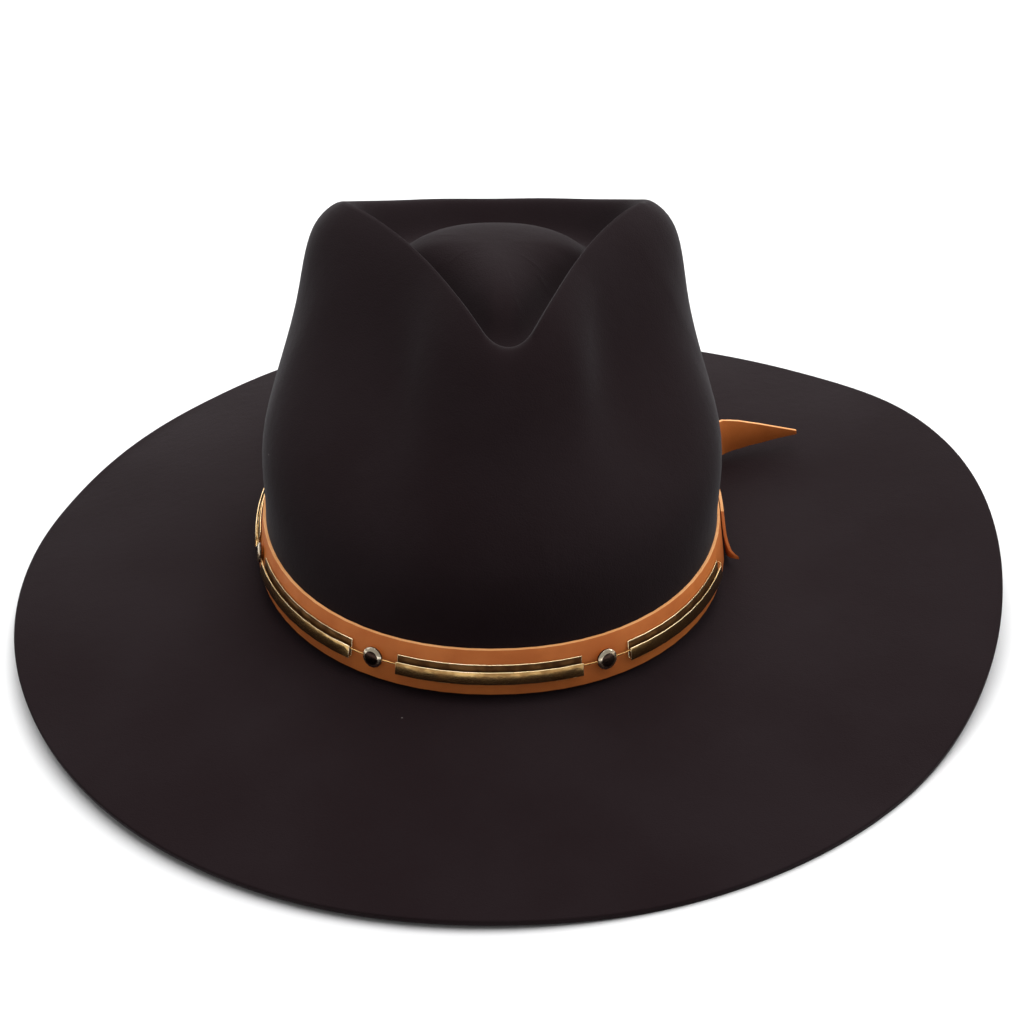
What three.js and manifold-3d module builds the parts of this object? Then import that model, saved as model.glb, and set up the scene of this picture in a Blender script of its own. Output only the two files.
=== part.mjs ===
// Wide-brim felt fedora with a teardrop crown and a leather band strung with gold tubes and dark round beads.
// Millimetres, +Z up, the hat's front towards -Y. It is shaped with the brim's break level at z = 0, then
// laid on its brim, so that the lowest stretches of the brim's edge lie on the ground.
import * as THREE from 'three';
import Module from 'manifold-3d';

// Crown
const FELT_WALL = 2;
const CROWN_HALF_WIDTH = 85.6;
const CROWN_HALF_LENGTH = 102.3;
const CROWN_SQUARENESS = 2.1;
const CROWN_HEIGHT = 122;
const CROWN_SEAT_HEIGHT = 20;
const CROWN_SEAT_LEAN = 2.8;
const CREASE_CENTRE_Y = 22;
const CREASE_FLOOR_HEIGHT = 92;
const CREASE_FRONT_SHIFT = 4.7;
const CREASE_REAR_SHIFT = 2;
const CREASE_SIDE_TURN = 90;
const DOME_RISE = 17.5;
const FRONT_ROLL = 9.5;
const SIDE_ROLL = 11.7;
const ROLL_DROP = 0.9;
const PINCH_DEPTH = 9;

// Brim
const BRIM_WIDTH = 96;
const BRIM_SIDE_SHIFT = 5;
const BRIM_FRONT_SHIFT = -0.5;
const BRIM_SWEEP = 1.5;
const BREAK_FILLET = 2.5;
const EDGE_LIP = 3;

// How the hat lies on its brim
const REST_ROLL = 2.1;
const REST_PITCH = 0.2;
const REST_SETTLE = 0.8;

// Leather band
const BAND_HEIGHT = 15.9;
const BAND_THICKNESS = 1.1;
const BAND_LIFT = 2.6;
const BAND_STEP = 5;
const FIT_GAP = 0.3;
const SLIT_FROM = 101;
const SLIT_TO = 113.5;

// String of tubes and beads. It runs from its last turn, at the wearer's left, round the front and the rear
// as far as its first turn. The tubes share out the length that the beads' rooms leave.
const STRING_LAST_TURN = 70;
const STRING_FIRST_TURN = -226;
const STRING_RISE = -0.1;
const PAIR_COUNT = 6;
const BEAD_ROOM = 18;
const TUBE_HEIGHT = 6.4;
const TUBE_DEPTH = 1.8;
const TUBE_WALL = 0.4;
const TUBE_FRONT_DROP = 1.9;
const TUBE_STEPS = 8;
const BEAD_DIAMETER = 7.4;
const BEAD_DEPTH = 1.9;
const BEAD_BEVEL = 0.6;
const BEAD_SLOPE = 1.2;
const BEAD_SIDES = 14;
const WIRE_RADIUS = 0.25;
const WIRE_SIDES = 5;
const WIRE_END = 4;
const WIRE_BITE = 0.6;
const WIRE_DIVE = 1.2;
const HOLE_SIDES = 8;

// Fineness of the felt
const COLUMNS = 72;
const COLUMN_CROWDING = 20;
const BRIM_SHARES = [1, 0.82, 0.62, 0.42, 0.2];

// The crease's rim, from the front round to the rear, the same on both sides. turn: degrees from the front;
// side: share of the crown's half width; fore: share of its half length, plus to the rear; rise: share of the
// crown's height.
const RIM = [
  { turn: 0, side: 0, fore: -0.494, rise: 0.844 },
  { turn: 8, side: 0.074, fore: -0.478, rise: 0.862 },
  { turn: 16, side: 0.138, fore: -0.395, rise: 0.904 },
  { turn: 26, side: 0.203, fore: -0.288, rise: 0.934 },
  { turn: 40, side: 0.292, fore: -0.127, rise: 0.96 },
  { turn: 58, side: 0.402, fore: 0.04, rise: 0.984 },
  { turn: 80, side: 0.54, fore: 0.215, rise: 1 },
  { turn: 104, side: 0.65, fore: 0.39, rise: 0.978 },
  { turn: 125, side: 0.61, fore: 0.587, rise: 0.915 },
  { turn: 145, side: 0.445, fore: 0.743, rise: 0.864 },
  { turn: 162, side: 0.24, fore: 0.822, rise: 0.842 },
  { turn: 180, side: 0, fore: 0.842, rise: 0.834 },
];

// The crown's outer wall from the seat of the band up to the shoulder. climb: share of the way up;
// bulge: how far it stands out from the straight line, in shares of the wall's lean; pinch: share of the
// front pinch's depth.
const WALL = [
  { climb: 0.34, bulge: 0.25, pinch: 0.25 },
  { climb: 0.7, bulge: 0.08, pinch: 1 },
  { climb: 1, bulge: 0, pinch: 0.35 },
];

// The crown's top inside the rim. share: distance from the crease's centre, as a share of the rim's; height
// over the crease's floor, rim: as a share of the rim's, dome: as a share of the dome's.
const CREASE = [
  { share: 0.95, rim: 0.93, dome: 0 },
  { share: 0.88, rim: 0.55, dome: 0 },
  { share: 0.79, rim: 0.08, dome: 0 },
  { share: 0.68, rim: 0, dome: 0.16 },
  { share: 0.56, rim: 0, dome: 0.62 },
  { share: 0.38, rim: 0, dome: 0.9 },
  { share: 0.18, rim: 0, dome: 0.99 },
];

// The hollow of the two front pinches. turn: degrees from the front, the same on both sides; share: of their
// depth.
const PINCH = [
  { turn: 0, share: 0 },
  { turn: 14, share: 0 },
  { turn: 20, share: 0.12 },
  { turn: 26, share: 0.46 },
  { turn: 33, share: 0.86 },
  { turn: 42, share: 1 },
  { turn: 54, share: 0.68 },
  { turn: 68, share: 0.2 },
  { turn: 85, share: 0 },
  { turn: 180, share: 0 },
];

// Steps of the felt's mesh between one line of its profile and the next, from the foot of the wall inwards
const PROFILE_STEPS = [1, 2, 2, 2, 2, 1, 1, 1, 1, 1, 1, 1, 1];

// The brim's edge. turn: degrees from the front by the +X side; lift: height over the break, in shares of the
// brim's width.
const BRIM_EDGE = [
  { turn: 0, lift: -0.094 },
  { turn: 22.5, lift: -0.086 },
  { turn: 45, lift: -0.05 },
  { turn: 67.5, lift: 0.057 },
  { turn: 90, lift: 0.153 },
  { turn: 112.5, lift: 0.118 },
  { turn: 135, lift: -0.012 },
  { turn: 157.5, lift: -0.097 },
  { turn: 180, lift: -0.107 },
  { turn: 202.5, lift: -0.126 },
  { turn: 225, lift: -0.175 },
  { turn: 247.5, lift: -0.183 },
  { turn: 270, lift: -0.142 },
  { turn: 292.5, lift: -0.118 },
  { turn: 315, lift: -0.124 },
  { turn: 337.5, lift: -0.117 },
];

// The band's end from the front leaves the crown, passes through the slit of the other end and flares out as
// a pointed tail. turn: degrees from the front; out: distance from the felt, low and high: its edges, all in
// shares of the band's height.
const TAIL = [
  { turn: 98, out: 0, low: 0, high: 1 },
  { turn: 104, out: 0.01, low: 0.27, high: 0.73 },
  { turn: 108, out: 0.09, low: 0.28, high: 0.72 },
  { turn: 111, out: 0.3, low: 0.28, high: 0.72 },
  { turn: 115, out: 0.74, low: 0.26, high: 0.76 },
  { turn: 116.5, out: 1, low: 0, high: 1 },
  { turn: 117.5, out: 1.3, low: 0.01, high: 0.98 },
  { turn: 117.2, out: 1.75, low: 0.08, high: 0.88 },
  { turn: 116.4, out: 2.25, low: 0.18, high: 0.74 },
  { turn: 114.3, out: 3.15, low: 0.42, high: 0.52 },
];

// The band's end from the rear rides over the other and stops near the first tube, its lower corner curled
// out. Here out is in shares of one thickness of leather and its gap.
const OVERLAP = [
  { turn: 150, out: 0, low: 0, high: 1 },
  { turn: 136, out: 0, low: 0, high: 1 },
  { turn: 124, out: 0, low: 0, high: 1 },
  { turn: 115, out: 0.1, low: 0, high: 1 },
  { turn: 109, out: 0.65, low: 0, high: 1 },
  { turn: 103, out: 1, low: 0, high: 1 },
  { turn: 96, out: 1, low: 0, high: 1 },
  { turn: 89, out: 1, low: 0, high: 1 },
  { turn: 83, out: 1.02, low: 0, high: 0.96 },
  { turn: 80.5, out: 1.2, low: 0, high: 0.5 },
  { turn: 79, out: 2.2, low: 0.01, high: 0.2 },
  { turn: 78.4, out: 4, low: 0.02, high: 0.08 },
];

const radians = (degrees) => THREE.MathUtils.degToRad(degrees);
const UP = new THREE.Vector3(0, 0, 1);

// Smooth curve through one column of a table, over another column that only grows
function tableCurve(rows, key, over = 'turn') {
  const slopes = rows.map((row, i) => {
    const before = rows[Math.max(i - 1, 0)];
    const after = rows[Math.min(i + 1, rows.length - 1)];
    return (after[key] - before[key]) / (after[over] - before[over]);
  });
  return (place) => {
    let i = 0;
    while (i < rows.length - 2 && place > rows[i + 1][over]) i += 1;
    const span = rows[i + 1][over] - rows[i][over];
    const t = (place - rows[i][over]) / span;
    const rise = rows[i + 1][key] - rows[i][key];
    const start = slopes[i] * span;
    const end = slopes[i + 1] * span;
    return rows[i][key] + t * (start + t * (3 * rise - 2 * start - end + t * (start + end - 2 * rise)));
  };
}

// A table from front to rear gets one mirrored row past each end, so that it runs on smoothly there
function mirrorEnds(rows) {
  const second = rows[1];
  const nextToLast = rows[rows.length - 2];
  return [
    { ...second, turn: -second.turn, side: -second.side },
    ...rows,
    { ...nextToLast, turn: 360 - nextToLast.turn, side: -nextToLast.side },
  ];
}

// A table that goes all the way round gets its last row again before the first, and its first rows after it
function wrapEnds(rows) {
  const last = rows[rows.length - 1];
  const again = rows.slice(0, 2).map((row) => ({ ...row, turn: row.turn + 360 }));
  return [{ ...last, turn: last.turn - 360 }, ...rows, ...again];
}

const rimSide = tableCurve(mirrorEnds(RIM), 'side');
const rimFore = tableCurve(mirrorEnds(RIM), 'fore');
const rimRise = tableCurve(mirrorEnds(RIM), 'rise');
const edgeLift = tableCurve(wrapEnds(BRIM_EDGE), 'lift');
const pinchShare = tableCurve(PINCH, 'share');
const wrapTurn = (turn) => THREE.MathUtils.euclideanModulo(turn, 360);
const fromFront = (turn) => Math.min(wrapTurn(turn), 360 - wrapTurn(turn));

// The oval of the break between crown and brim, in plan
function breakPlan(turn) {
  const bend = (value) => Math.sign(value) * Math.abs(value) ** (2 / CROWN_SQUARENESS);
  return new THREE.Vector2(
    CROWN_HALF_WIDTH * bend(Math.sin(radians(turn))),
    -CROWN_HALF_LENGTH * bend(Math.cos(radians(turn))),
  );
}

// How far the turn is from the front towards the crown's side, 0 to 1
const towardsSide = (turn) => THREE.MathUtils.smoothstep(fromFront(turn), 0, CREASE_SIDE_TURN);

// The rim of the crease, in space
function rimPoint(turn) {
  const folded = fromFront(turn);
  const hand = wrapTurn(turn) <= 180 ? 1 : -1;
  const shift = THREE.MathUtils.lerp(CREASE_FRONT_SHIFT, CREASE_REAR_SHIFT, towardsSide(turn));
  return new THREE.Vector3(
    hand * rimSide(folded) * CROWN_HALF_WIDTH + shift,
    rimFore(folded) * CROWN_HALF_LENGTH,
    rimRise(folded) * CROWN_HEIGHT,
  );
}

// Level direction that points out of a closed curve, square to it
function outwardOf(curve, turn) {
  const reach = 1;
  const ahead = curve(turn + reach);
  const behind = curve(turn - reach);
  return new THREE.Vector3(ahead.y - behind.y, behind.x - ahead.x, 0).normalize();
}

// A point beside the crown's foot: so far out from the felt's outer face, at this height
function besideCrown(turn, out, height) {
  const plan = breakPlan(turn);
  const climb = (height - BREAK_FILLET) / (CROWN_SEAT_HEIGHT - BREAK_FILLET);
  const lean = CROWN_SEAT_LEAN * THREE.MathUtils.clamp(climb, 0, 1);
  return new THREE.Vector3(plan.x, plan.y, height).addScaledVector(outwardOf(breakPlan, turn), out - lean);
}

// Highest point of the dome in the crease
const domeTop = new THREE.Vector3(CREASE_REAR_SHIFT, CREASE_CENTRE_Y, CREASE_FLOOR_HEIGHT + DOME_RISE);

// Points of the crown's profile at this turn, from the foot of its wall over the rim and in to the centre
function crownProfile(turn) {
  const out = outwardOf(breakPlan, turn);
  const rim = rimPoint(turn);
  const rimOut = outwardOf(rimPoint, turn);
  const roll = THREE.MathUtils.lerp(FRONT_ROLL, SIDE_ROLL, towardsSide(turn));
  const seat = besideCrown(turn, 0, CROWN_SEAT_HEIGHT);
  const shoulder = rim.clone().addScaledVector(rimOut, roll).addScaledVector(UP, -ROLL_DROP * roll);
  const lean = Math.hypot(seat.x - shoulder.x, seat.y - shoulder.y);
  const pinch = PINCH_DEPTH * pinchShare(fromFront(turn));
  const wall = WALL.map((row) => (
    seat.clone().lerp(shoulder, row.climb).addScaledVector(out, row.bulge * lean - row.pinch * pinch)));
  const crease = CREASE.map((row) => {
    const point = domeTop.clone().lerp(rim, row.share);
    const rise = row.rim * (rim.z - CREASE_FLOOR_HEIGHT) + row.dome * DOME_RISE;
    return point.setZ(CREASE_FLOOR_HEIGHT + rise);
  });
  return [besideCrown(turn, 0, BREAK_FILLET), seat, ...wall, rim, ...crease, domeTop];
}

// One line of the brim: share 0 is where it leaves the break's fillet, 1 is its edge
function brimPoint(turn, share) {
  const widening = BRIM_SIDE_SHIFT * Math.sin(radians(turn)) + BRIM_FRONT_SHIFT * Math.cos(radians(turn));
  const reach = BREAK_FILLET + share * (BRIM_WIDTH + widening - BREAK_FILLET);
  const height = edgeLift(wrapTurn(turn)) * BRIM_WIDTH * share ** BRIM_SWEEP;
  const plan = breakPlan(turn);
  return new THREE.Vector3(plan.x, plan.y, height).addScaledVector(outwardOf(breakPlan, turn), reach);
}

function filletPoint(turn, angle) {
  const plan = breakPlan(turn);
  const out = BREAK_FILLET * (1 - Math.sin(angle));
  const height = BREAK_FILLET * (1 - Math.cos(angle));
  return new THREE.Vector3(plan.x, plan.y, height).addScaledVector(outwardOf(breakPlan, turn), out);
}

// The felt's upper face at one turn, from the brim's edge to the crown's centre
function feltColumn(turn) {
  const column = [];
  for (const share of BRIM_SHARES) {
    column.push(brimPoint(turn, share));
    if (share === 1) column.push(brimPoint(turn, 1 - EDGE_LIP / BRIM_WIDTH));
  }
  column.push(filletPoint(turn, 0), filletPoint(turn, Math.PI / 4));
  const profile = new THREE.CatmullRomCurve3(crownProfile(turn), false, 'centripetal');
  PROFILE_STEPS.forEach((steps, i) => {
    for (let k = 0; k < steps; k += 1) column.push(profile.getPoint((i + k / steps) / PROFILE_STEPS.length));
  });
  return column;
}

// Closed solid from rings of points, one after another. A ring of one point closes an end in a fan, any other
// end ring gets a cap.
function skin(rings) {
  const points = [];
  const index = [];
  const first = rings.map((ring) => points.push(...ring) - ring.length);
  for (let r = 0; r < rings.length - 1; r += 1) {
    const count = Math.max(rings[r].length, rings[r + 1].length);
    for (let i = 0; i < count; i += 1) {
      const j = (i + 1) % count;
      const a = first[r] + (i % rings[r].length);
      const b = first[r] + (j % rings[r].length);
      const c = first[r + 1] + (j % rings[r + 1].length);
      const d = first[r + 1] + (i % rings[r + 1].length);
      if (a !== b) index.push(a, b, c);
      if (c !== d) index.push(a, c, d);
    }
  }
  index.push(...cap(first[0], rings[0].length).reverse());
  index.push(...cap(first[rings.length - 1], rings[rings.length - 1].length));
  return solidOf(points, index);
}

// Faces across a ring of points, in strips from its two ends to its middle
function cap(start, count) {
  const index = [];
  for (let i = 0; i < Math.floor((count - 1) / 2); i += 1) {
    const [a, b, c, d] = [start + i, start + i + 1, start + count - 2 - i, start + count - 1 - i];
    if (b !== c) index.push(a, b, c);
    index.push(a, c, d);
  }
  return index;
}

// Geometry whose faces point out, whichever way its rings ran
function solidOf(points, index) {
  let volume = 0;
  for (let i = 0; i < index.length; i += 3) {
    const [a, b, c] = [points[index[i]], points[index[i + 1]], points[index[i + 2]]];
    volume += a.dot(b.clone().cross(c));
  }
  const geometry = new THREE.BufferGeometry().setFromPoints(points);
  geometry.setIndex(volume > 0 ? index : index.slice().reverse());
  return geometry;
}

// Felt

const restAngles = new THREE.Euler(radians(REST_PITCH), radians(REST_ROLL), 0);
const restTurn = new THREE.Quaternion().setFromEuler(restAngles);
const restUp = UP.clone().applyQuaternion(restTurn.clone().invert());

// Direction square to the felt's upper face at one point of its net
function feltNormal(net, r, i) {
  const row = net[r];
  const ahead = row[(i + 1) % row.length];
  const behind = row[(i + row.length - 1) % row.length];
  const inner = net[Math.min(r + 1, net.length - 1)][i];
  const outer = net[Math.max(r - 1, 0)][i];
  const along = new THREE.Vector3().subVectors(ahead, behind);
  return along.cross(new THREE.Vector3().subVectors(inner, outer)).normalize();
}

// Lifts a point that lies under a level plane of the hat at rest onto that plane
const raiseTo = (point, level) => point.addScaledVector(restUp, Math.max(0, level - point.dot(restUp)));

// The felt's columns stand closer together towards the front
function columnTurn(i) {
  const even = (i * 360) / COLUMNS;
  return even - COLUMN_CROWDING * Math.sin(radians(even));
}

function feltGeometry() {
  const columns = Array.from({ length: COLUMNS }, (_, i) => feltColumn(columnTurn(i)));
  const upper = columns[0].map((_, r) => columns.map((column) => column[r]));
  const lower = upper.map((row, r) => row.map((point, i) => (
    point.clone().addScaledVector(feltNormal(upper, r, i), -FELT_WALL))));
  const lowest = Math.min(...lower.flat().map((point) => point.dot(restUp)));
  const ground = lowest + REST_SETTLE;
  upper.flat().forEach((point) => raiseTo(point, ground + FELT_WALL));
  lower.flat().forEach((point) => raiseTo(point, ground));
  const domeUnder = domeTop.clone().addScaledVector(UP, -FELT_WALL);
  return { geometry: skin([[domeTop], ...upper.reverse(), ...lower, [domeUnder]]), ground };
}

// Leather band

// Four corners of the band's section: inner and outer, bottom and top. out: distance of its inner face from
// the felt beyond the fit's gap; grow: how much larger than the band the section is on every side.
function bandSection(row, normal, grow = 0) {
  const middle = FIT_GAP + BAND_THICKNESS / 2 + row.out;
  const half = BAND_THICKNESS / 2 + grow;
  const low = BAND_LIFT + row.low * BAND_HEIGHT - grow;
  const high = BAND_LIFT + row.high * BAND_HEIGHT + grow;
  const corner = (side, height) => besideCrown(row.turn, middle, height).addScaledVector(normal, side * half);
  return [corner(-1, low), corner(1, low), corner(1, high), corner(-1, high)];
}

// Rows of a band table with more rows between them: its path runs smoothly, its edges straight
function refineRows(table, unit, steps) {
  const rows = table.map((row, place) => ({ ...row, place }));
  const turnAt = tableCurve(rows, 'turn', 'place');
  const outAt = tableCurve(rows, 'out', 'place');
  return Array.from({ length: (rows.length - 1) * steps + 1 }, (_, k) => {
    const place = k / steps;
    const row = rows[Math.floor(place)];
    const next = rows[Math.ceil(place)];
    const between = (key) => THREE.MathUtils.lerp(row[key], next[key], place - row.place);
    return { turn: turnAt(place), out: outAt(place) * unit, low: between('low'), high: between('high') };
  });
}

// The free tail turns away from the crown, so its section stands square to its own path
function pathNormals(rows) {
  const centres = rows.map((row) => besideCrown(row.turn, row.out, BAND_LIFT));
  return rows.map((row, i) => {
    if (i === 0) return outwardOf(breakPlan, row.turn);
    const ahead = centres[Math.min(i + 1, rows.length - 1)];
    const behind = centres[i - 1];
    return new THREE.Vector3(ahead.y - behind.y, behind.x - ahead.x, 0).normalize();
  });
}

function ringRows(from, to) {
  const count = Math.round(Math.abs(to - from) / BAND_STEP);
  return Array.from({ length: count + 1 }, (_, i) => (
    { turn: THREE.MathUtils.lerp(from, to, i / count), out: 0, low: 0, high: 1 }));
}

const ringSection = (row) => bandSection(row, outwardOf(breakPlan, row.turn));

function bandGeometry(holes) {
  const tail = refineRows(TAIL, BAND_HEIGHT, 2);
  const normals = pathNormals(tail);
  const tailSections = (rows, grow) => rows.map((row) => bandSection(row, normals[tail.indexOf(row)], grow));
  const round = ringRows(TAIL[0].turn, OVERLAP[0].turn - 360).slice(1);
  const longEnd = skin([...tailSections(tail, 0).reverse(), ...round.map(ringSection)]);
  const cover = refineRows(OVERLAP, BAND_THICKNESS + FIT_GAP, 2);
  const start = { ...cover[0], turn: round[round.length - 2].turn + 360 };
  const shortEnd = skin([start, ...cover].map(ringSection));
  const neck = tail.filter((row) => row.turn > SLIT_FROM && row.turn < SLIT_TO);
  const slit = skin(tailSections(neck, FIT_GAP));
  const band = solid(shortEnd).subtract(solid(slit)).add(solid(longEnd));
  return fromSolid(holes.reduce((left, hole) => left.subtract(solid(hole)), band));
}

// String of tubes and beads

const bandFace = FIT_GAP + BAND_THICKNESS;
const stringHeight = BAND_LIFT + BAND_HEIGHT / 2 + STRING_RISE;
const stringOut = bandFace + FIT_GAP + TUBE_DEPTH / 2;
const holeRadius = WIRE_RADIUS + FIT_GAP;

// The string's whole turns with their lengths along it, from its first turn
const stringRows = [];
for (let turn = STRING_FIRST_TURN; turn <= STRING_LAST_TURN; turn += 1) {
  const place = besideCrown(turn, stringOut, stringHeight);
  const before = stringRows[stringRows.length - 1];
  const length = before ? before.length + place.distanceTo(before.place) : 0;
  stringRows.push({ turn, length, place });
}
const stringLength = stringRows[stringRows.length - 1].length;
const pairsLength = stringLength - 2 * WIRE_END + (BEAD_ROOM - BEAD_DIAMETER) / 2;
const pitch = pairsLength / PAIR_COUNT;
const tubeLength = pitch - BEAD_ROOM;
const stringTurn = tableCurve(stringRows, 'turn', 'length');
const stringOutward = (length) => outwardOf(breakPlan, stringTurn(length));

// A point of the string: so far along it, out from its middle and over it
function stringPoint(length, out = 0, height = 0) {
  return besideCrown(stringTurn(length), stringOut + out, stringHeight + height);
}

// Section of a tube, open along its top, its front wall lower than its back: x is depth, y is height
function tubeSection() {
  const [x, y] = [TUBE_DEPTH / 2, TUBE_HEIGHT / 2];
  const [innerX, innerY] = [x - TUBE_WALL, TUBE_WALL - y];
  const front = y - TUBE_FRONT_DROP;
  const outside = [[-x, y], [-x, -y], [x, -y], [x, front]];
  const inside = [[innerX, front], [innerX, innerY], [-innerX, innerY], [-innerX, y]];
  return [...outside, ...inside];
}

function tubeGeometry(middle) {
  const section = tubeSection();
  return skin(Array.from({ length: TUBE_STEPS + 1 }, (_, i) => {
    const length = middle + tubeLength * (i / TUBE_STEPS - 0.5);
    return section.map(([depth, height]) => stringPoint(length, depth, height));
  }));
}

// Flat round bead that faces +Z, drilled along X
function beadGeometry() {
  const ring = (inset, height) => Array.from({ length: BEAD_SIDES }, (_, i) => {
    const angle = (i * 2 * Math.PI) / BEAD_SIDES;
    const radius = BEAD_DIAMETER / 2 - inset;
    return new THREE.Vector3(radius * Math.cos(angle), radius * Math.sin(angle), height);
  });
  const face = BEAD_DEPTH / 2;
  const edge = face - BEAD_BEVEL;
  const disc = skin([ring(BEAD_SLOPE, -face), ring(0, -edge), ring(0, edge), ring(BEAD_SLOPE, face)]);
  const ends = [new THREE.Vector3(-BEAD_DIAMETER, 0, 0), new THREE.Vector3(BEAD_DIAMETER, 0, 0)];
  return fromSolid(solid(disc).subtract(solid(barGeometry(ends, holeRadius, HOLE_SIDES))));
}

// A bead's X runs along the string, its Y up the band and its Z out from it
function beadTurn(length) {
  const along = UP.clone().cross(stringOutward(length));
  const up = stringPoint(length, 0, TUBE_HEIGHT).sub(stringPoint(length)).normalize();
  return new THREE.Matrix4().makeBasis(along, up, along.clone().cross(up));
}

// The wire follows the string through tubes and beads, and its ends dive into the band
function wirePoints(beads) {
  const dive = (length, way) => [
    stringPoint(length - way * WIRE_DIVE),
    stringPoint(length - way * WIRE_RADIUS, -WIRE_RADIUS),
    stringPoint(length, -WIRE_DIVE),
    stringPoint(length, bandFace - BAND_THICKNESS * WIRE_BITE - stringOut),
  ];
  const inTube = Array.from({ length: TUBE_STEPS + 1 }, (_, i) => (
    BEAD_ROOM / 2 + tubeLength * (1 - i / TUBE_STEPS)));
  const offsets = [...inTube, BEAD_DIAMETER / 2, -BEAD_DIAMETER / 2];
  const middle = beads.flatMap((bead) => offsets.map((offset) => stringPoint(bead + offset)));
  return [...dive(stringLength, 1).reverse(), ...middle, ...dive(0, -1)];
}

// Round bar along points that lie level with one another
function barGeometry(points, radius, sides) {
  return skin(points.map((point, i) => {
    const ahead = points[Math.min(i + 1, points.length - 1)];
    const behind = points[Math.max(i - 1, 0)];
    const side = new THREE.Vector3().subVectors(ahead, behind).cross(UP).normalize();
    return Array.from({ length: sides }, (_, k) => {
      const angle = (k * 2 * Math.PI) / sides;
      return point.clone().addScaledVector(side, radius * Math.cos(angle))
        .addScaledVector(UP, radius * Math.sin(angle));
    });
  }));
}

// Solids

const wasm = await Module();
wasm.setup();

function solid(geometry) {
  return new wasm.Manifold(new wasm.Mesh({
    numProp: 3,
    vertProperties: new Float32Array(geometry.attributes.position.array),
    triVerts: new Uint32Array(geometry.index.array),
  }));
}

function fromSolid(body) {
  const mesh = body.getMesh();
  const geometry = new THREE.BufferGeometry();
  geometry.setAttribute('position', new THREE.BufferAttribute(mesh.vertProperties, 3));
  geometry.setIndex(new THREE.BufferAttribute(mesh.triVerts, 1));
  return geometry;
}

const felt = new THREE.MeshStandardMaterial({ color: 0x1d191c, roughness: 0.95, metalness: 0 });
const leather = new THREE.MeshStandardMaterial({ color: 0xb8713f, roughness: 0.6, metalness: 0 });
const gold = new THREE.MeshStandardMaterial({ color: 0xc79a4a, roughness: 0.3, metalness: 1 });
const darkStone = new THREE.MeshStandardMaterial({ color: 0x2b2a30, roughness: 0.2, metalness: 0.4 });

const hat = new THREE.Group();

function addPiece(name, geometry, material) {
  const mesh = new THREE.Mesh(geometry, material);
  mesh.name = name;
  hat.add(mesh);
  return mesh;
}

const body = feltGeometry();
addPiece('felt_body', body.geometry, felt);

const firstTube = stringLength - WIRE_END - tubeLength / 2;
const tubeMiddles = Array.from({ length: PAIR_COUNT }, (_, i) => firstTube - i * pitch);
const beadMiddles = tubeMiddles.map((middle) => middle - pitch / 2);
const holes = [stringLength, 0].map((length) => barGeometry(
  [stringPoint(length), stringPoint(length, FIT_GAP / 2 - stringOut)],
  holeRadius,
  HOLE_SIDES,
));
addPiece('leather_band', bandGeometry(holes), leather);

tubeMiddles.forEach((middle, i) => addPiece(`tube_bead_${i + 1}`, tubeGeometry(middle), gold));
beadMiddles.forEach((middle, i) => {
  const bead = addPiece(`round_bead_${i + 1}`, beadGeometry(), darkStone);
  bead.position.copy(stringPoint(middle));
  bead.quaternion.setFromRotationMatrix(beadTurn(middle));
});
addPiece('bead_wire', barGeometry(wirePoints(beadMiddles), WIRE_RADIUS, WIRE_SIDES), gold);

// The hat at rest, its origin on the ground under the middle of its outline
hat.quaternion.copy(restTurn);
hat.updateMatrixWorld(true);
const outline = new THREE.Box3().setFromObject(hat, true);
hat.position.set(-(outline.min.x + outline.max.x) / 2, -(outline.min.y + outline.max.y) / 2, -body.ground);

const part = new THREE.Group();
part.add(hat);
export default part;
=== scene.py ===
# Looks of a wide-brim felt fedora: wine-black pressed felt, a tan leather band, gold tubes, dark disc beads
# and the thin gold wire that they hang on. Metres, +Z up, the hat's front towards -Y.
import math

import bpy
from mathutils import Euler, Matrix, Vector


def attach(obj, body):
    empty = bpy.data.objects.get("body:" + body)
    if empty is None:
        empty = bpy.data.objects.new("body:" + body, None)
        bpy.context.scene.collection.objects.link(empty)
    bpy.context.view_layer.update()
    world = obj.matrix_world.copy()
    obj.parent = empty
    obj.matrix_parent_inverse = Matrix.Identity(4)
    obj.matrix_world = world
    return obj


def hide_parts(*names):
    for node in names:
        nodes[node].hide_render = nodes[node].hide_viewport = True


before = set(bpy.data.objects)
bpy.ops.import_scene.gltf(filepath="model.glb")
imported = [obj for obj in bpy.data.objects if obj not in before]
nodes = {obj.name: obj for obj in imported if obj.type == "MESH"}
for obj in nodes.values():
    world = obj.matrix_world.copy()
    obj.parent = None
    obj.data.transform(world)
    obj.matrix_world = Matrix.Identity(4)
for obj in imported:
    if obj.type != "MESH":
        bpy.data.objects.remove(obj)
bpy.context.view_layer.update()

# Camera
CAMERA_PLACE = (-0.004878, -0.597433, 0.380823)
CAMERA_TURN = (59.04, 1.7704, -1.8109)
CAMERA_LENS = 65.122

# Shapes: metres and degrees
MERGE_REACH = 1e-6
TUBE_COUNT = 6
BEAD_COUNT = 6
FELT_QUAD_FLATNESS = 60
FELT_QUAD_SKEW = 70
FELT_EDGE_ANGLE = 75
FELT_EDGE_CREASE = 0.55
STRAP_FLATNESS = 0.5
STRAP_EDGE_SLOPE = 0.7
BEVEL_ANGLE = 40
SMOOTH_ANGLE = 35
BEAD_SMOOTH_ANGLE = 32
RIM_SLOPE_LEAST = 0.35
RIM_SLOPE_MOST = 0.92
LEATHER_BEVEL = 0.0002
TUBE_BEVEL = 0.00015
BEAD_EDGE_BEVEL = 0.00015
WIRE_SWELL = 0.00006
TUBE_REACH = 0.002
FRONT_WALL_DROP = 0.0022

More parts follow.
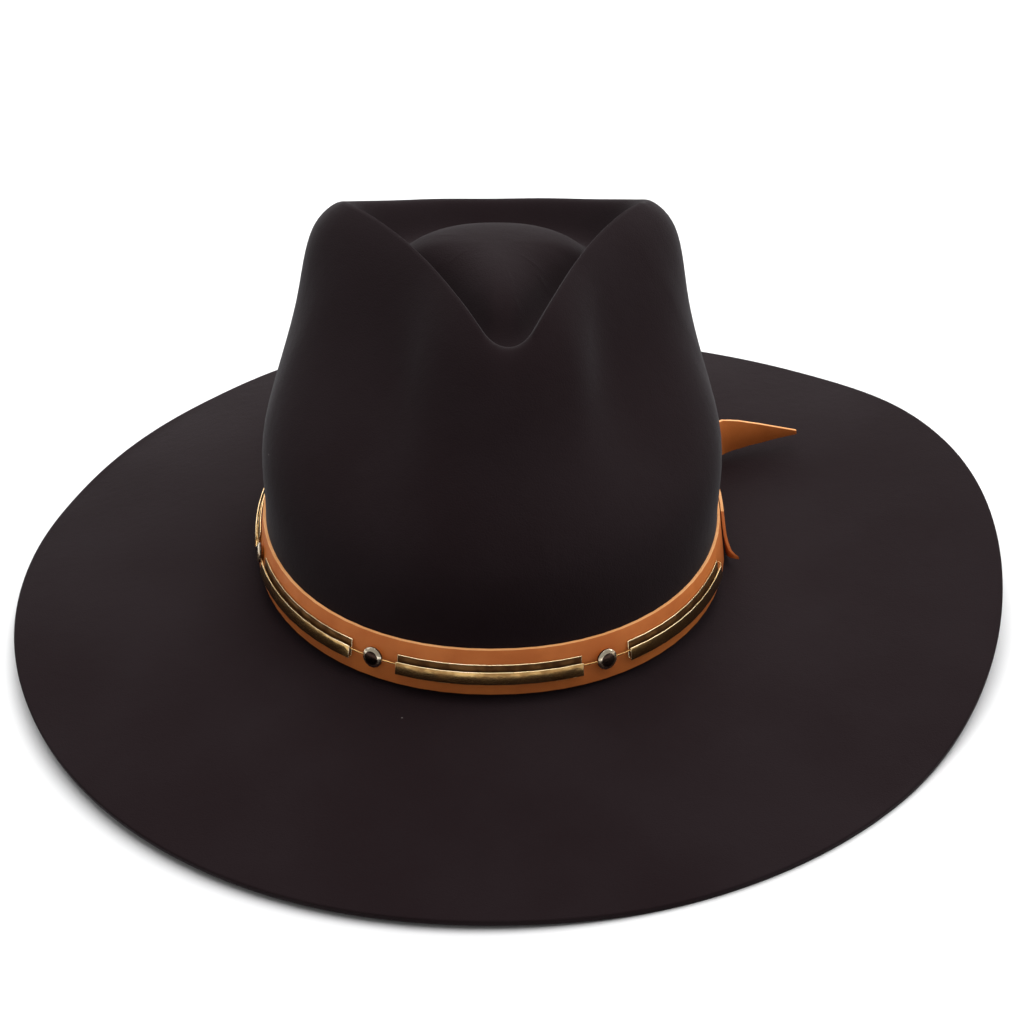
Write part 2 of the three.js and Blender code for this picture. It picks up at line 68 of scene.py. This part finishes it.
# Colours, linear
FELT_BLACK = (0.0072, 0.0024, 0.0034, 1)
FELT_BROWN = (0.0098, 0.0048, 0.0060, 1)
FELT_FUZZ = (0.95, 0.95, 1.0, 1)
LINT = (0.22, 0.19, 0.19, 1)
LEATHER_TAN = (0.62, 0.180, 0.038, 1)
LEATHER_BROWN = (0.53, 0.140, 0.028, 1)
CUT_TAN = (0.86, 0.42, 0.17, 1)
CUT_BROWN = (0.76, 0.34, 0.12, 1)
GOLD_BRIGHT = (0.72, 0.46, 0.18, 1)
GOLD_BROWN = (0.36, 0.19, 0.065, 1)
# Painted highlight: pale gold for the tubes' bevelled edges, lighter than the tubes' own gold
EDGE_HIGHLIGHT = (1.0, 0.86, 0.58, 1)
EDGE_HIGHLIGHT_GOLD = (0.92, 0.72, 0.38, 1)
# Painted shade: dark browned gold that stands in for the shade inside the tubes' channels
INSIDE_SHADE_DARK = (0.10, 0.045, 0.018, 1)
INSIDE_SHADE_GOLD = (0.22, 0.11, 0.040, 1)
STONE_DARK = (0.045, 0.026, 0.020, 1)
STONE_GREY = (0.085, 0.055, 0.042, 1)
# Painted highlight: pale gold for the beads' bevelled rims, on dark stone
RIM_HIGHLIGHT = (0.94, 0.82, 0.62, 1)
RIM_HIGHLIGHT_DULL = (0.62, 0.46, 0.30, 1)
FLOOR_PALE = (0.82, 0.82, 0.82, 1)
FLOOR_SHADE = (0.79, 0.79, 0.795, 1)

# Finishes: share of the noise where one colour gives way to the other
PATCH_FROM = 0.32
PATCH_TO = 0.68
LEATHER_SMOOTHER = 0.06
LEATHER_ROUGHER = 0.1

# Lights. place and aim: metres; size: metres; power: watts
LIGHTS = [
    {"name": "top_light", "place": (0.15, 0.25, 1.9), "aim": (0, 0.1, 0.05), "size": 2.2, "power": 52},
    {"name": "right_light", "place": (1.6, 0.15, 0.9), "aim": (0, 0, 0.08), "size": 1.0, "power": 8},
    {"name": "back_light", "place": (0.1, 1.6, 0.95), "aim": (0, 0, 0.08), "size": 1.2, "power": 16},
    {"name": "left_light", "place": (-1.6, 0.15, 0.9), "aim": (0, 0, 0.08), "size": 1.0, "power": 1.5},
]
WORLD_COLOUR = (1, 1, 1, 1)
WORLD_STRENGTH = 0.3
FLOOR_SIZE = 12
SENSOR_WIDTH = 36


# Helpers for objects

def pick(piece):
    """Selects one object alone and makes it active."""
    bpy.ops.object.select_all(action="DESELECT")
    piece.select_set(True)
    bpy.context.view_layer.objects.active = piece


def merged_copy(node, name):
    """A new object with the node's mesh, its loose triangles merged."""
    piece = bpy.data.objects.new(name, nodes[node].data.copy())
    piece.data.name = name
    piece.data.materials.clear()
    bpy.context.scene.collection.objects.link(piece)
    pick(piece)
    bpy.ops.mesh.customdata_custom_splitnormals_clear()
    bpy.ops.object.mode_set(mode="EDIT")
    bpy.ops.mesh.select_all(action="SELECT")
    bpy.ops.mesh.remove_doubles(threshold=MERGE_REACH)
    bpy.ops.object.mode_set(mode="OBJECT")
    return piece


def apply_modifier(piece, kind, **values):
    """Adds one modifier with these values and applies it."""
    pick(piece)
    modifier = piece.modifiers.new(kind.lower(), kind)
    for key, value in values.items():
        setattr(modifier, key, value)
    bpy.ops.object.modifier_apply(modifier=modifier.name)


def stand_for(piece, node):
    """The piece replaces the node, which is hidden; the piece is attached to the root body."""
    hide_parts(node)
    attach(piece, "root")


# Helpers for materials

def new_group(name, inputs, outputs):
    """An empty node group with named sockets. inputs: socket name to (type, value)."""
    group = bpy.data.node_groups.new(name, "ShaderNodeTree")
    for label, (kind, value) in inputs.items():
        socket = group.interface.new_socket(name=label, in_out="INPUT", socket_type=kind)
        socket.default_value = value
    for label, kind in outputs.items():
        group.interface.new_socket(name=label, in_out="OUTPUT", socket_type=kind)
    return group, group.nodes.new("NodeGroupInput").outputs, group.nodes.new("NodeGroupOutput").inputs


def add_node(tree, kind, settings=None, **sockets):
    """A node with these settings. A socket is given by its label, or by its number as in _0. It takes a
    value, or another node's output."""
    node = tree.nodes.new(kind)
    for key, value in (settings or {}).items():
        setattr(node, key, value)
    for label, value in sockets.items():
        socket = node.inputs[int(label[1:])] if label[1:].isdigit() else node.inputs[label.replace("_", " ")]
        if isinstance(value, bpy.types.NodeSocket):
            tree.links.new(value, socket)
        else:
            socket.default_value = value
    return node


def mottle_group():
    """Two colours in soft patches."""
    group, given, out = new_group(
        "soft_patches",
        {
            "Scale": ("NodeSocketFloat", 10.0),
            "Detail": ("NodeSocketFloat", 3.0),
            "Color A": ("NodeSocketColor", (0, 0, 0, 1)),
            "Color B": ("NodeSocketColor", (1, 1, 1, 1)),
        },
        {"Color": "NodeSocketColor", "Share": "NodeSocketFloat"},
    )
    place = add_node(group, "ShaderNodeTexCoord").outputs["Object"]
    noise = add_node(group, "ShaderNodeTexNoise", Vector=place, Scale=given["Scale"], Detail=given["Detail"])
    share = add_node(group, "ShaderNodeMapRange", {"interpolation_type": "SMOOTHSTEP"},
                     Value=noise.outputs["Fac"], From_Min=PATCH_FROM, From_Max=PATCH_TO)
    mix = add_node(group, "ShaderNodeMix", {"data_type": "RGBA"}, _0=share.outputs["Result"],
                   _6=given["Color A"], _7=given["Color B"])
    group.links.new(mix.outputs[2], out["Color"])
    group.links.new(share.outputs["Result"], out["Share"])
    return group


def grain_group():
    """Fine relief: small noise over larger noise."""
    group, given, out = new_group(
        "fine_grain",
        {
            "Fine Scale": ("NodeSocketFloat", 1000.0),
            "Coarse Scale": ("NodeSocketFloat", 200.0),
            "Coarse Share": ("NodeSocketFloat", 0.5),
        },
        {"Height": "NodeSocketFloat"},
    )
    place = add_node(group, "ShaderNodeTexCoord").outputs["Object"]
    fine = add_node(group, "ShaderNodeTexNoise", Vector=place, Scale=given["Fine Scale"], Detail=4.0)
    coarse = add_node(group, "ShaderNodeTexNoise", Vector=place, Scale=given["Coarse Scale"], Detail=2.0)
    mix = add_node(group, "ShaderNodeMix", {"data_type": "FLOAT"}, _0=given["Coarse Share"],
                   _2=fine.outputs["Fac"], _3=coarse.outputs["Fac"])
    group.links.new(mix.outputs[0], out["Height"])
    return group


def speck_group():
    """Small round specks, thinly strewn."""
    group, given, out = new_group(
        "strewn_specks",
        {
            "Scale": ("NodeSocketFloat", 80.0),
            "Size": ("NodeSocketFloat", 0.03),
            "Rarity": ("NodeSocketFloat", 0.8),
        },
        {"Mask": "NodeSocketFloat"},
    )
    place = add_node(group, "ShaderNodeTexCoord").outputs["Object"]
    cells = add_node(group, "ShaderNodeTexVoronoi", Vector=place, Scale=given["Scale"])
    near = add_node(group, "ShaderNodeMath", {"operation": "LESS_THAN"}, _0=cells.outputs["Distance"],
                    _1=given["Size"])
    parts = add_node(group, "ShaderNodeSeparateColor", Color=cells.outputs["Color"])
    rare = add_node(group, "ShaderNodeMath", {"operation": "GREATER_THAN"}, _0=parts.outputs[0],
                    _1=given["Rarity"])
    both = add_node(group, "ShaderNodeMath", {"operation": "MULTIPLY"}, _0=near.outputs[0],
                    _1=rare.outputs[0])
    group.links.new(both.outputs[0], out["Mask"])
    return group


MOTTLE = mottle_group()
GRAIN = grain_group()
SPECKS = speck_group()


def new_material(name, **shader):
    """A material and its tree, its Principled shader set to these constant values."""
    material = bpy.data.materials.new(name)
    material.use_nodes = True
    tree = material.node_tree
    principled = tree.nodes["Principled BSDF"]
    for label, value in shader.items():
        principled.inputs[label.replace("_", " ")].default_value = value
    return material, tree, principled.inputs


def patches(tree, scale, detail, first, second):
    """Soft patches of two colours; gives their colour and the second one's share."""
    node = add_node(tree, "ShaderNodeGroup", {"node_tree": MOTTLE}, Scale=scale, Detail=detail)
    node.inputs["Color A"].default_value = first
    node.inputs["Color B"].default_value = second
    return node.outputs


def relief(tree, inputs, height, strength, distance):
    """Bump on the material's shader from this height."""
    bump = add_node(tree, "ShaderNodeBump", Strength=strength, Distance=distance, Height=height)
    tree.links.new(bump.outputs["Normal"], inputs["Normal"])


def grain(tree, fine, coarse, share):
    """Height of a fine grain over a coarse one."""
    return add_node(tree, "ShaderNodeGroup", {"node_tree": GRAIN}, Fine_Scale=fine, Coarse_Scale=coarse,
                    Coarse_Share=share).outputs["Height"]


def felt_material():
    """Wine-black pressed felt with a short nap, a soft bloom at grazing angles and a few specks of lint."""
    material, tree, inputs = new_material(
        "black_felt", Roughness=0.95, Sheen_Weight=0.08, Sheen_Roughness=0.3, Sheen_Tint=FELT_FUZZ,
        Specular_IOR_Level=0.17)
    colour = patches(tree, scale=16, detail=4, first=FELT_BLACK, second=FELT_BROWN)["Color"]
    specks = add_node(tree, "ShaderNodeGroup", {"node_tree": SPECKS}, Scale=110.0, Size=0.026, Rarity=0.88)
    mix = add_node(tree, "ShaderNodeMix", {"data_type": "RGBA"}, _0=specks.outputs["Mask"], _6=colour,
                   _7=LINT)
    tree.links.new(mix.outputs[2], inputs["Base Color"])
    relief(tree, inputs, grain(tree, fine=1700, coarse=240, share=0.45), strength=0.35, distance=0.0006)
    return material


def leather_material(name, first, second, roughness):
    """Smooth strap leather with soft patches, fine pores and small marks."""
    material, tree, inputs = new_material(name, Specular_IOR_Level=0.3)
    soft = patches(tree, scale=60, detail=4, first=first, second=second)
    tree.links.new(soft["Color"], inputs["Base Color"])
    shine = add_node(tree, "ShaderNodeMapRange", Value=soft["Share"], To_Min=roughness - LEATHER_SMOOTHER,
                     To_Max=roughness + LEATHER_ROUGHER)
    tree.links.new(shine.outputs["Result"], inputs["Roughness"])
    relief(tree, inputs, grain(tree, fine=2600, coarse=500, share=0.4), strength=0.3, distance=0.00025)
    return material


def metal_material(name, first, second, smooth, rough, marks):
    """Metal, or a stone as bright as metal, in two tones, rougher where it is duller. marks: strength of its
    small hammered marks."""
    material, tree, inputs = new_material(name, Metallic=1.0)
    soft = patches(tree, scale=180, detail=3, first=first, second=second)
    tree.links.new(soft["Color"], inputs["Base Color"])
    shine = add_node(tree, "ShaderNodeMapRange", Value=soft["Share"], To_Min=smooth, To_Max=rough)
    tree.links.new(shine.outputs["Result"], inputs["Roughness"])
    relief(tree, inputs, grain(tree, fine=1400, coarse=420, share=0.7), strength=marks, distance=0.0005)
    return material


def floor_material():
    """Plain pale floor with hardly any change of tone."""
    material, tree, inputs = new_material("pale_floor", Roughness=0.85)
    colour = patches(tree, scale=2, detail=2, first=FLOOR_PALE, second=FLOOR_SHADE)["Color"]
    tree.links.new(colour, inputs["Base Color"])
    return material


# Pieces

def make_felt():
    """The felt's net of quads, rounded finer, with its raw edge kept crisp."""
    felt = merged_copy("felt_body", "hat_felt")
    bpy.ops.object.mode_set(mode="EDIT")
    bpy.ops.mesh.select_all(action="SELECT")
    bpy.ops.mesh.tris_convert_to_quads(face_threshold=math.radians(FELT_QUAD_FLATNESS),
                                       shape_threshold=math.radians(FELT_QUAD_SKEW))
    bpy.ops.mesh.select_all(action="DESELECT")
    bpy.ops.mesh.select_mode(type="EDGE")
    bpy.ops.mesh.edges_select_sharp(sharpness=math.radians(FELT_EDGE_ANGLE))
    bpy.ops.transform.edge_crease(value=FELT_EDGE_CREASE)
    bpy.ops.object.mode_set(mode="OBJECT")
    apply_modifier(felt, "SUBSURF", levels=2, render_levels=2)
    bpy.ops.object.shade_smooth()
    felt.data.materials.append(felt_material())
    stand_for(felt, "felt_body")


def make_band():
    """The strap with softened corners; its cut edges, above and below, are paler."""
    band = merged_copy("leather_band", "hat_band")
    bpy.ops.object.mode_set(mode="EDIT")
    bpy.ops.mesh.select_all(action="SELECT")
    bpy.ops.mesh.dissolve_limited(angle_limit=math.radians(STRAP_FLATNESS))
    bpy.ops.object.mode_set(mode="OBJECT")
    apply_modifier(band, "BEVEL", width=LEATHER_BEVEL, segments=2, limit_method="ANGLE",
                   angle_limit=math.radians(BEVEL_ANGLE))
    band.data.materials.append(leather_material("tan_leather", LEATHER_TAN, LEATHER_BROWN, roughness=0.5))
    band.data.materials.append(leather_material("cut_leather", CUT_TAN, CUT_BROWN, roughness=0.8))
    for face in band.data.polygons:
        face.material_index = 1 if abs(face.normal.z) > STRAP_EDGE_SLOPE else 0
    bpy.ops.object.shade_smooth_by_angle(angle=math.radians(SMOOTH_ANGLE))
    stand_for(band, "leather_band")


def faces_in_shade(piece):
    """Faces that look at the other wall of the same tube, or just over the top of it: the ones that take the
    painted shade.
    """

    def looks_at_wall(face, drop):
        downhill = Vector((0, 0, -1)) + face.normal * face.normal.z
        start = face.center + face.normal * MERGE_REACH + downhill * drop
        return piece.ray_cast(start, face.normal, distance=TUBE_REACH)[0]

    return [face for face in piece.data.polygons
            if looks_at_wall(face, 0) or looks_at_wall(face, FRONT_WALL_DROP)]


def bevel_faces(piece):
    """Faces that stand aslant to the piece's largest face."""
    front = max(piece.data.polygons, key=lambda face: face.area).normal
    return [face for face in piece.data.polygons
            if RIM_SLOPE_LEAST < abs(face.normal.dot(front)) < RIM_SLOPE_MOST]


def make_string():
    """Tubes with softened edges in a painted highlight and insides in painted shade, disc beads with a
    painted highlight on their rims, and the round wire.
    """
    tube_gold = metal_material("tube_gold", GOLD_BRIGHT, GOLD_BROWN, smooth=0.14, rough=0.26, marks=0.12)
    # Painted shade for the tubes' insides and for the back wall just behind the front wall's top
    tube_inside_shade = metal_material("tube_inside_shade", INSIDE_SHADE_GOLD, INSIDE_SHADE_DARK, smooth=0.4, rough=0.6, marks=0.12)
    # Painted highlight on the tubes' bevelled edges
    tube_edge_highlight = metal_material("tube_edge_highlight", EDGE_HIGHLIGHT, EDGE_HIGHLIGHT_GOLD, smooth=0.16, rough=0.3, marks=0.08)
    wire_gold = metal_material("wire_gold", GOLD_BRIGHT, GOLD_BROWN, smooth=0.14, rough=0.26, marks=0.05)
    stone = metal_material("dark_stone", STONE_DARK, STONE_GREY, smooth=0.16, rough=0.3, marks=0.02)
    # Painted highlight on the beads' bevelled rims
    bead_rim_highlight = metal_material("bead_rim_highlight", RIM_HIGHLIGHT, RIM_HIGHLIGHT_DULL, smooth=0.16, rough=0.3, marks=0.02)
    for number in range(1, TUBE_COUNT + 1):
        tube = merged_copy(f"tube_bead_{number}", f"gold_tube_{number}")
        for material in (tube_gold, tube_inside_shade, tube_edge_highlight):
            tube.data.materials.append(material)
        # Faces inside the channel, or hidden just behind the front wall's top, take the painted shade
        for face in faces_in_shade(tube):
            face.material_index = 1
        # The bevel's new faces take the painted highlight
        apply_modifier(tube, "BEVEL", width=TUBE_BEVEL, segments=3, limit_method="ANGLE",
                       angle_limit=math.radians(BEVEL_ANGLE), material=2)
        bpy.ops.object.shade_smooth_by_angle(angle=math.radians(SMOOTH_ANGLE))
        stand_for(tube, f"tube_bead_{number}")
    for number in range(1, BEAD_COUNT + 1):
        bead = merged_copy(f"round_bead_{number}", f"dark_bead_{number}")
        bead.data.materials.append(stone)
        bead.data.materials.append(bead_rim_highlight)
        # The bevels take the painted highlight
        for face in bevel_faces(bead):
            face.material_index = 1
        apply_modifier(bead, "BEVEL", width=BEAD_EDGE_BEVEL, segments=2, limit_method="ANGLE",
                       angle_limit=math.radians(BEVEL_ANGLE))
        bpy.ops.object.shade_smooth_by_angle(angle=math.radians(BEAD_SMOOTH_ANGLE))
        stand_for(bead, f"round_bead_{number}")
    wire = merged_copy("bead_wire", "string_wire")
    apply_modifier(wire, "SUBSURF", levels=1, render_levels=1)
    apply_modifier(wire, "DISPLACE", strength=WIRE_SWELL, mid_level=0)
    bpy.ops.object.shade_smooth()
    wire.data.materials.append(wire_gold)
    stand_for(wire, "bead_wire")


make_felt()
make_band()
make_string()


# Floor, lights and camera

bpy.ops.object.select_all(action="DESELECT")
bpy.ops.mesh.primitive_plane_add(size=FLOOR_SIZE, location=(0, 0, 0))
floor = bpy.context.active_object
floor.name = "floor"
floor.data.materials.append(floor_material())


def add_light(name, place, aim, size, power):
    """A square soft light at a place, turned to the aim."""
    bpy.ops.object.light_add(type="AREA", location=place)
    light = bpy.context.active_object
    light.name = name
    light.data.shape = "SQUARE"
    light.data.size = size
    light.data.energy = power
    light.rotation_euler = (Vector(aim) - Vector(place)).to_track_quat("-Z", "Y").to_euler()


for light in LIGHTS:
    add_light(**light)

world = bpy.data.worlds.new("studio")
bpy.context.scene.world = world
world.use_nodes = True
world.node_tree.nodes["Background"].inputs["Color"].default_value = WORLD_COLOUR
world.node_tree.nodes["Background"].inputs["Strength"].default_value = WORLD_STRENGTH

camera_data = bpy.data.cameras.new("photo_camera")
camera_data.lens = CAMERA_LENS
camera_data.sensor_width = SENSOR_WIDTH
camera = bpy.data.objects.new("photo_camera", camera_data)
camera.location = CAMERA_PLACE
camera.rotation_euler = Euler([math.radians(angle) for angle in CAMERA_TURN])
bpy.context.scene.collection.objects.link(camera)
bpy.context.scene.camera = camera
bpy.context.scene.view_settings.view_transform = "Standard"
